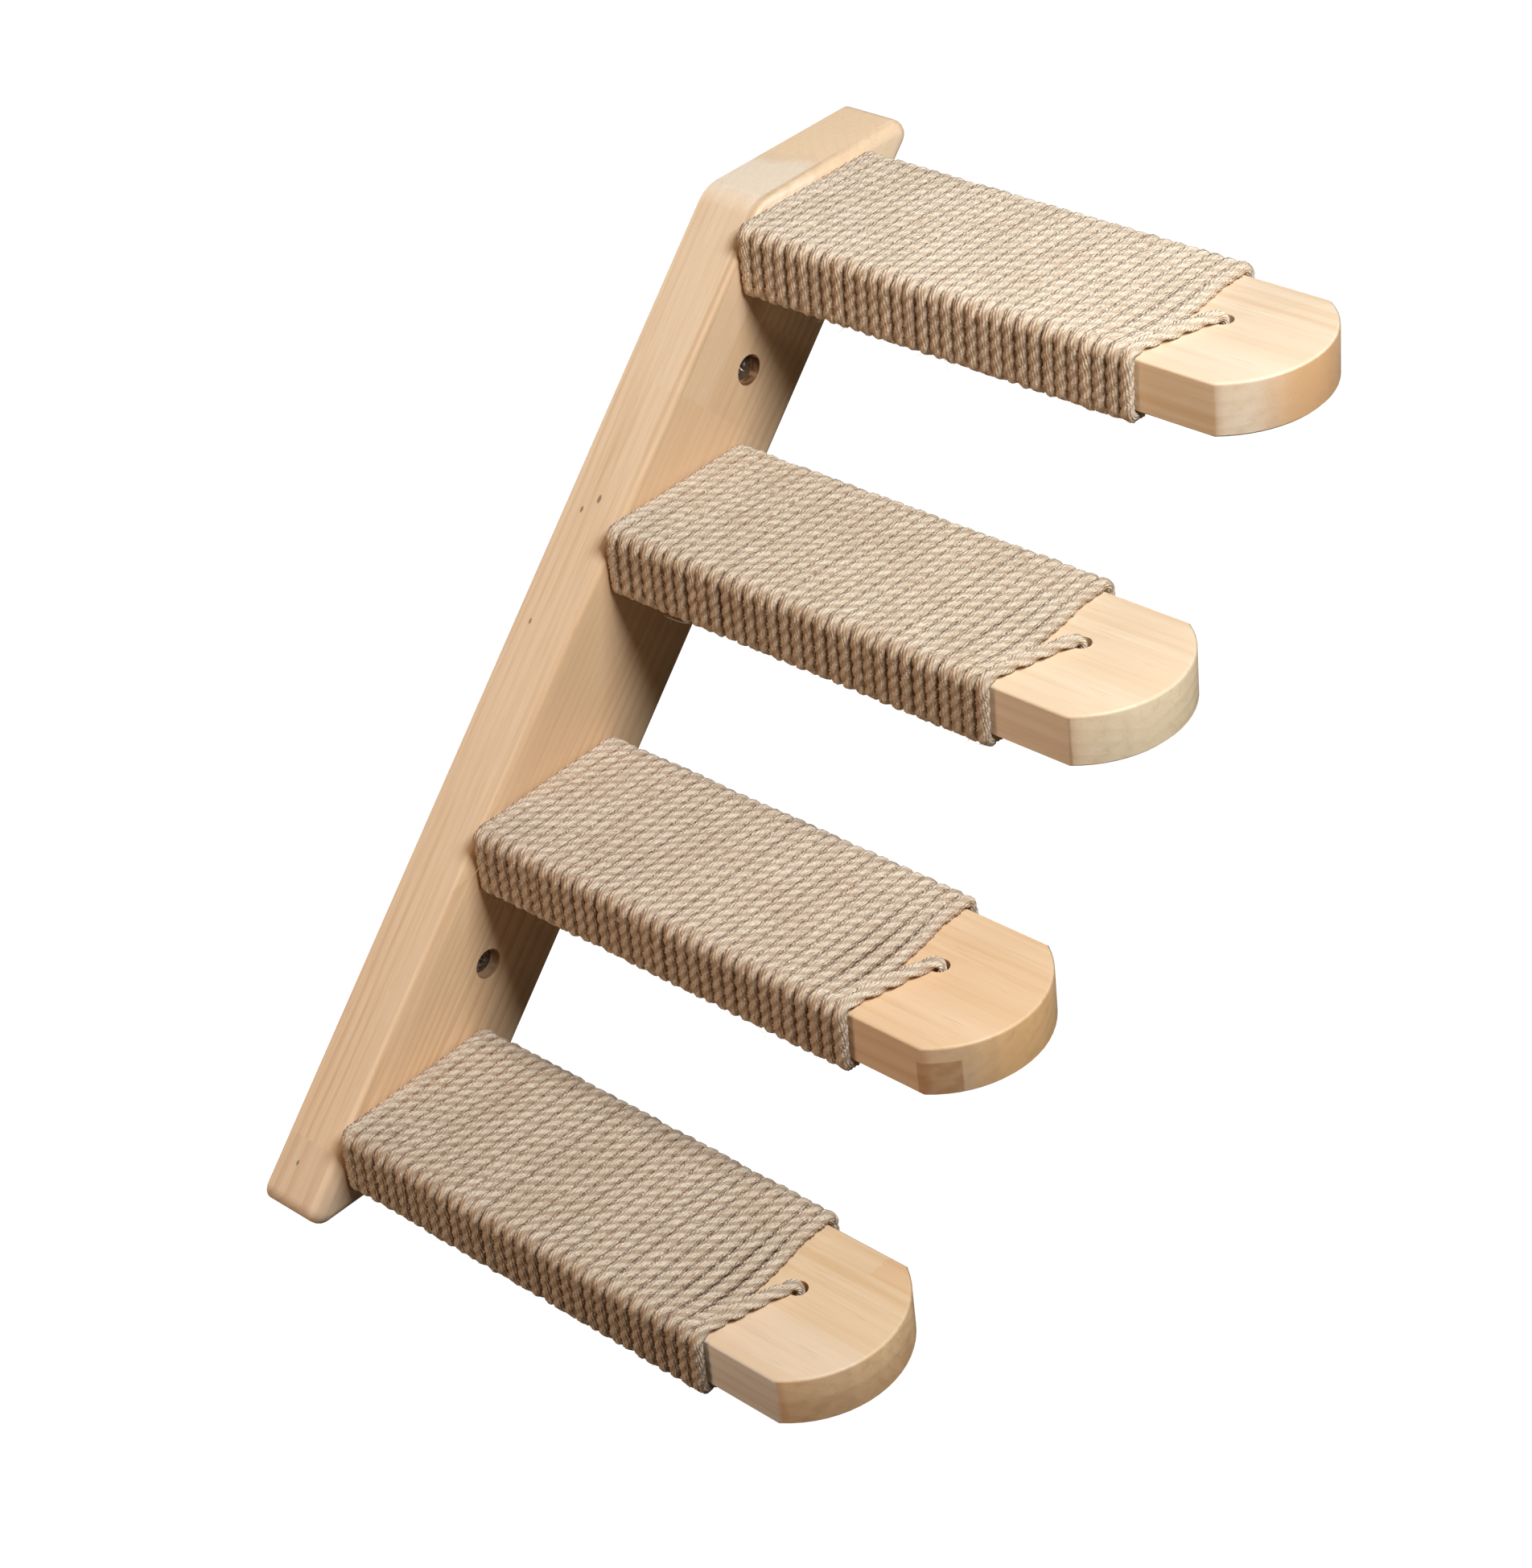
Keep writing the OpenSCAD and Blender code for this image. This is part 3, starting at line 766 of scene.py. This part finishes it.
def winding(name, rng, material):
    """A three-strand rope wound round a step, as one closed tube whose strands are modelled."""
    x0, z0 = STEP_AT[name]
    points, outs = winding_route(rng)
    tangent = unit_rows(np.gradient(points, axis=0))
    outs = unit_rows(outs - tangent * (outs * tangent).sum(1)[:, None])
    across = np.cross(tangent, outs)
    run = np.concatenate([[0], np.cumsum(np.linalg.norm(np.diff(points, axis=0), axis=1))])
    verts, gaps, crowns = strand_surface(rng, points, outs, across, run)
    count, size = gaps.shape
    verts = (verts + np.array([x0, 0, z0])).reshape(-1, 3) * MM

    # Four-sided faces along the rope, and one face to close each end
    ring = np.arange(size)
    following = (ring + 1) % size
    base = np.arange(count - 1)[:, None] * size
    faces = np.stack([base + ring, base + following, base + size + following, base + size + ring], -1)
    faces = [tuple(f) for f in faces.reshape(-1, 4).tolist()]
    faces.append(tuple(range(size - 1, -1, -1)))
    faces.append(tuple(range((count - 1) * size, count * size)))
    mesh = bpy.data.meshes.new(name + "_rope_wound")
    mesh.from_pydata(verts.tolist(), [], faces)
    strand_uv(mesh, run, size)
    crown = mesh.attributes.new("crown", "FLOAT", "POINT")
    crown.data.foreach_set("value", np.tile(crowns, count))
    gap = mesh.attributes.new("gap", "FLOAT", "POINT")
    gap.data.foreach_set("value", gaps.ravel())
    mesh.shade_smooth()
    mesh.materials.append(material)
    made = add_object(name + "_rope_wound", mesh)
    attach(made, "root")
    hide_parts(name + "_rope")
    return points + np.array([x0, 0, z0]), outs, across, tangent


# Loose fibres: how many stand off each rope, how far round and how deep in it they start, and their form;
# then how far each turns aside and up from the rope's run, and how it curls and sinks
FIBRES = 170
FIBRE_SIDES = 3
FIBRE_SEGMENTS = 6
FIBRE_ENDS_FREE = 20
FIBRE_SPREAD = 1.25
FIBRE_ROOT = 0.8
FIBRE_LENGTHS = (3.0, 11.0)
FIBRE_RADII = (0.035, 0.06)
FIBRE_THINNING = 0.7
FIBRE_ASIDE = 0.8
FIBRE_UP = 0.35
FIBRE_CURL = 0.12
FIBRE_SINK = 0.07

# One long pale fibre stands out sideways from the start of the lower winding; its points are placed from
# the middle of the step
STRAY_RADIUS = 0.09
STRAY_PATH = ((-30.5, -26.3, 1.0), (-33.4, -26.6, -0.5), (-36.5, -27.2, -1.2), (-40.0, -27.6, -1.0),
              (-43.5, -27.4, -1.6), (-46.0, -26.8, -2.6))


def round_points(at, side, other, radius):
    """The corners of a fibre's section, in metres, in the plane of two directions."""
    for k in range(FIBRE_SIDES):
        a = 2 * math.pi * k / FIBRE_SIDES
        yield (at + side * math.cos(a) * radius + other * math.sin(a) * radius) * MM


def thin_tube(verts, faces, sections):
    """Adds one closed tube through the sections, which have FIBRE_SIDES points each."""
    first = len(verts)
    for section in sections:
        verts.extend(section)
    for s in range(len(sections) - 1):
        start = first + s * FIBRE_SIDES
        for k in range(FIBRE_SIDES):
            p = start + k
            q = start + (k + 1) % FIBRE_SIDES
            faces.append((p, q, q + FIBRE_SIDES, p + FIBRE_SIDES))
    end = len(verts) - FIBRE_SIDES
    faces.append(tuple(range(first + FIBRE_SIDES - 1, first - 1, -1)))
    faces.append(tuple(range(end, len(verts))))


def stray_sections(x0, z0):
    for x, y, z in STRAY_PATH:
        at = np.array([x0 + x, y, z0 + z])
        yield list(round_points(at, np.array([0, 1, 0]), np.array([0, 0, 1]), STRAY_RADIUS))


def fibre_sections(rng, points, outs, across, tangent):
    """One thin fibre that starts inside the rope and curls away from it."""
    i = int(rng.integers(FIBRE_ENDS_FREE, len(points) - FIBRE_ENDS_FREE))
    a = rng.uniform(-FIBRE_SPREAD, FIBRE_SPREAD)
    up = outs[i] * math.cos(a) + across[i] * math.sin(a)
    at = (points[i] + outs[i] * math.cos(a) * ROPE_OUT * FIBRE_ROOT
          + across[i] * math.sin(a) * ROPE_ACROSS * FIBRE_ROOT)
    way = tangent[i] * rng.choice([-1, 1]) + across[i] * rng.normal(0, FIBRE_ASIDE) + up * FIBRE_UP
    way /= np.linalg.norm(way)
    length = rng.uniform(*FIBRE_LENGTHS)
    radius = rng.uniform(*FIBRE_RADII)
    bend = rng.normal(0, FIBRE_CURL, 3) - up * FIBRE_SINK
    for s in range(FIBRE_SEGMENTS + 1):
        side = np.cross(way, up)
        side /= max(1e-6, np.linalg.norm(side))
        thin = radius * (1 - FIBRE_THINNING * s / FIBRE_SEGMENTS)
        yield list(round_points(at, side, np.cross(side, way), thin))
        at = at + way * length / FIBRE_SEGMENTS
        way = way + bend
        way /= np.linalg.norm(way)


def loose_fibres(name, rng, route, material):
    """Thin fibres that stand off the rope."""
    verts = []
    faces = []
    for _ in range(FIBRES):
        thin_tube(verts, faces, list(fibre_sections(rng, *route)))
    if name == "lower":
        thin_tube(verts, faces, list(stray_sections(*STEP_AT[name])))
    mesh = bpy.data.meshes.new(name + "_loose_fibres")
    mesh.from_pydata([tuple(v) for v in verts], [], faces)
    mesh.shade_smooth()
    mesh.materials.append(material)
    made = add_object(name + "_loose_fibres", mesh)
    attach(made, "root")


# A wall screw: places down its length from the top of its head, and radii
SCREW_TOP_Y = -20.5
HEAD_TOP_R = 4.35
HEAD_R = 4.5
HEAD_RIM = 0.18
HEAD_DISH = 0.06
NECK_R = 1.69
NECK_FROM = 2.85
THREAD_FROM = 20.8
THREAD_TO = 38.0
CORE_R = 1.42
CORE_POINT = 4.0
RIDGE = 0.83
RIDGE_HALF = 0.30
RIDGE_FADE_IN = 0.8
RIDGE_FADE_OUT = 5.0
THREAD_PITCH = 2.1

# The shares of the ridge and of the core that are there at the thread's two ends
RIDGE_FIRST = 0.15
RIDGE_LAST = 0.06
CORE_LAST = 0.05

# Its mesh: points round it, rings on its head from the middle out, and rings down its thread
SCREW_SIDES = 40
HEAD_MIDDLE_R = 0.12
HEAD_RINGS = 26
THREAD_RINGS = 72

# Its cross recess: half an arm's width in the middle, how it narrows, its wall, its depth and how it rises
ARM_HALF = 0.62
ARM_NARROWS = 0.10
ARM_WALL = 0.16
ARM_DEPTH = 2.1
ARM_RISES = 0.85

# Faces that meet at more than these angles, in degrees, keep a sharp edge
SHARP_STEEL = 38
SHARP_WOOD = 55

# Points that round to the same micron are one place
PER_MICRON = 1e6


def steel():
    """Plated steel, dulled and brownish, with fine turning marks."""
    material, tree, shader = new_material("screw_steel")
    place = object_place(tree)
    dull = noise(tree, place, 900.0, 3.0, 0.6)
    marks = noise(tree, place, (4000.0, 9000.0, 4000.0))
    base = mix(tree, span(tree, dull, 0.35, 0.7), colour((0.33, 0.27, 0.21)), colour((0.15, 0.11, 0.08)))
    set_surface(tree, shader, base, span(tree, dull, 0.3, 0.7, 0.30, 0.55), marks, strength=0.3, depth=0.04)
    shader.inputs["Metallic"].default_value = 0.85
    return material


def recess_depth(x, y):
    """Depth of the cross recess at a point of the screw's head."""
    deepest = 0.0
    floor = max(0.0, ARM_DEPTH - ARM_RISES * math.hypot(x, y))
    for along, off in ((x, y), (y, x)):
        wall = (ARM_HALF - ARM_NARROWS * abs(along) - abs(off)) / ARM_WALL
        deepest = max(deepest, share(wall) * floor)
    return deepest


def screw_profile():
    """Radius, place down the screw and height of the thread's ridge, from the head's rim to the point."""
    yield HEAD_R, HEAD_RIM, 0
    yield NECK_R, NECK_FROM, 0
    yield NECK_R, THREAD_FROM, 0
    for i in range(THREAD_RINGS + 1):
        t = THREAD_FROM + (THREAD_TO - THREAD_FROM) * i / THREAD_RINGS
        fade_in = share((t - THREAD_FROM) / RIDGE_FADE_IN + RIDGE_FIRST)
        fade_out = share((THREAD_TO - t) / RIDGE_FADE_OUT + RIDGE_LAST)
        core = CORE_R * share((THREAD_TO - t) / CORE_POINT + CORE_LAST)
        yield core, t, RIDGE * fade_in * fade_out


def screw_rings():
    """Rings of (x, y, place down the screw): the head with its pressed recess, then the sides."""
    angles = [2 * math.pi * k / SCREW_SIDES for k in range(SCREW_SIDES)]
    for i in range(HEAD_RINGS + 1):
        r = HEAD_MIDDLE_R + (HEAD_TOP_R - HEAD_MIDDLE_R) * i / HEAD_RINGS
        dish = HEAD_DISH * (r / HEAD_TOP_R) ** 4
        yield [(r * math.cos(a), r * math.sin(a), recess_depth(r * math.cos(a), r * math.sin(a)) + dish)
               for a in angles]
    for r, t, ridge in screw_profile():
        ring = []
        for k, a in enumerate(angles):
            phase = (t / THREAD_PITCH - k / SCREW_SIDES) % 1.0
            outer = r + ridge * max(0.0, 1 - abs(phase - 0.5) / RIDGE_HALF)
            ring.append((outer * math.cos(a), outer * math.sin(a), t))
        yield ring


def wall_screw(name, along, material, spin):
    """A countersunk cross-head screw with its thread, driven into the wall through the board."""
    rings = list(screw_rings())
    points = [(0, 0, recess_depth(0, 0))]
    for ring in rings:
        points.extend(ring)
    points.append((0, 0, THREAD_TO))
    c = math.cos(spin)
    s = math.sin(spin)
    x0 = along * SLANT
    z0 = along * SLANT
    verts = [((x0 + x * c - y * s) * MM, (SCREW_TOP_Y + t) * MM, (z0 + x * s + y * c) * MM)
             for x, y, t in points]
    faces = []
    for k in range(SCREW_SIDES):
        n = (k + 1) % SCREW_SIDES
        faces.append((0, 1 + n, 1 + k))
        for i in range(len(rings) - 1):
            a = 1 + i * SCREW_SIDES
            b = a + SCREW_SIDES
            faces.append((a + k, a + n, b + n, b + k))
        last = 1 + (len(rings) - 1) * SCREW_SIDES
        faces.append((last + k, last + n, len(verts) - 1))
    mesh = bpy.data.meshes.new(name + "_threaded")
    mesh.from_pydata(verts, [], faces)
    mesh.update()
    shade_by_angle(mesh, SHARP_STEEL)
    mesh.materials.append(material)
    made = add_object(name + "_threaded", mesh)
    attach(made, "root")
    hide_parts(name)


# Dress the CAD nodes
def shade_by_angle(mesh, degrees):
    """Shades a mesh smoothly, but for edges whose faces meet at more than this angle.

    Edges are matched by their points' places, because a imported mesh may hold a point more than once.
    """
    mesh.polygons.foreach_set("use_smooth", [True] * len(mesh.polygons))
    keys = [tuple(round(c * PER_MICRON) for c in v.co) for v in mesh.vertices]
    met = {}
    for face in mesh.polygons:
        for a, b in face.edge_keys:
            met.setdefault(frozenset((keys[a], keys[b])), []).append(face.normal)
    limit = math.cos(math.radians(degrees))
    sharp = []
    for edge in mesh.edges:
        a, b = edge.vertices
        normals = met.get(frozenset((keys[a], keys[b])), [])
        sharp.append(len(normals) == 2 and normals[0].dot(normals[1]) < limit)
    mesh.edges.foreach_set("use_edge_sharp", sharp)


def dress(name, material):
    """Gives a CAD node its material and shades its softened edges smoothly."""
    part = bpy.data.objects[name]
    part.data.materials.clear()
    part.data.materials.append(material)
    shade_by_angle(part.data, SHARP_WOOD)
    weld = part.modifiers.new("weld", "WELD")
    weld.merge_threshold = 0.01 * MM
    normals = part.modifiers.new("normals", "WEIGHTED_NORMAL")
    normals.keep_sharp = True
    normals.weight = 100


def make_wood_and_screws():
    dress("back_board", wood("board_wood", (0, 0, 0), BOARD_AXES, **BOARD_WOOD))
    screw_look = steel()
    for key, look in STEP_WOOD.items():
        x0, z0 = STEP_AT[key]
        centre = (x0 * MM, 0, z0 * MM)
        dress(key + "_step", wood(key + "_step_wood", centre, STEP_AXES, **STEP_GRAIN, **look))
        for hand in ("left", "right"):
            dress(key + "_step_" + hand + "_screw", screw_look)
    wall_screw("upper_wall_screw", WALL_SCREW_SPAN / 2, screw_look, spin=math.radians(25))
    wall_screw("lower_wall_screw", -WALL_SCREW_SPAN / 2, screw_look, spin=math.radians(-30))


ROPE_SEED = 100


def make_ropes():
    fibre_look = fibre_material()
    for number, key in enumerate(STEP_AT):
        rng = np.random.default_rng(ROPE_SEED + number)
        route = winding(key, rng, rope_material(key, **ROPE_LOOK[key]))
        loose_fibres(key, rng, route, fibre_look)


# Stage, light and camera, in metres
FLOOR_HALF = 40.0
FLOOR_Z = -1.6

# Each light's name, place, target, size, power and tint
LIGHTS = (
    ("key", (-0.03, -0.64, 0.75), (0, -0.1, 0), 0.34, 10.6, (0.90, 0.96, 1.0)),
    ("upper_fill", (-0.75, 0.16, 0.45), (0, -0.05, 0.05), 0.26, 1.35, (1.0, 0.48, 0.17)),
    ("lower_fill", (-0.85, 0.16, -0.25), (0, -0.05, -0.05), 0.26, 1.4, (1.0, 0.95, 0.88)),
)
WORLD_TINT = (1.0, 0.82, 0.63)

# The camera that fits the photograph: its place, its turn in degrees, its focal length and the photograph's
# width in pixels, and Blender's sensor width in mm
CAMERA_AT = (-0.629523, -0.736918, 0.615579)
CAMERA_TURN = (54.6965, 5.6135, -47.9625)
FOCAL_PIXELS = 4384.018
PHOTO_WIDTH = 1904
SENSOR_WIDTH = 36.0


def make_stage():
    """A pale floor that shines by itself, so that the background is even."""
    floor_mesh = bpy.data.meshes.new("floor")
    r = FLOOR_HALF
    z = FLOOR_Z
    floor_mesh.from_pydata([(-r, -r, z), (r, -r, z), (r, r, z), (-r, r, z)], [], [(0, 1, 2, 3)])
    floor = add_object("floor", floor_mesh)
    material, _, shader = new_material("pale_floor")
    shader.inputs["Base Color"].default_value = colour((0.9, 0.9, 0.9))
    shader.inputs["Roughness"].default_value = 0.9
    shader.inputs["Emission Color"].default_value = colour((1.0, 1.0, 1.0))
    shader.inputs["Emission Strength"].default_value = 1.0
    floor_mesh.materials.append(material)
    floor.visible_diffuse = False
    floor.visible_glossy = False


def area_light(name, location, target, size, power, tint):
    light = bpy.data.lights.new(name, "AREA")
    light.shape = "RECTANGLE"
    light.size = size
    light.size_y = size
    light.energy = power
    light.color = tint
    made = add_object(name, light)
    made.location = location
    made.rotation_mode = "QUATERNION"
    made.rotation_quaternion = (Vector(target) - Vector(location)).to_track_quat("-Z", "Y")


def make_world():
    """Dim warm light from all round, a little brighter from above."""
    world = bpy.data.worlds.new("studio")
    world.use_nodes = True
    tree = world.node_tree
    tree.nodes.clear()
    direction = tree.nodes.new("ShaderNodeTexCoord").outputs["Generated"]
    up = node(tree, "ShaderNodeSeparateXYZ", {0: direction}).outputs[2]
    strength = span(tree, up, -0.6, 0.7, 0.052, 0.07)
    back = node(tree, "ShaderNodeBackground", {"Color": colour(WORLD_TINT), "Strength": strength})
    out = tree.nodes.new("ShaderNodeOutputWorld")
    tree.links.new(back.outputs[0], out.inputs[0])
    bpy.context.scene.world = world


def make_camera():
    camera = bpy.data.cameras.new("camera")
    camera.sensor_fit = "HORIZONTAL"
    camera.sensor_width = SENSOR_WIDTH
    camera.lens = FOCAL_PIXELS / PHOTO_WIDTH * SENSOR_WIDTH
    camera.clip_start = 0.05
    camera.clip_end = 200.0
    made = add_object("camera", camera)
    turn = Euler([math.radians(angle) for angle in CAMERA_TURN])
    made.matrix_world = Matrix.LocRotScale(Vector(CAMERA_AT), turn, None)
    bpy.context.scene.camera = made


def set_view():
    view = bpy.context.scene.view_settings
    view.view_transform = "Standard"
    view.look = "None"
    view.exposure = 0.0
    view.gamma = 1.0


make_wood_and_screws()
make_ropes()
make_stage()
for light in LIGHTS:
    area_light(*light)
make_world()
make_camera()
set_view()
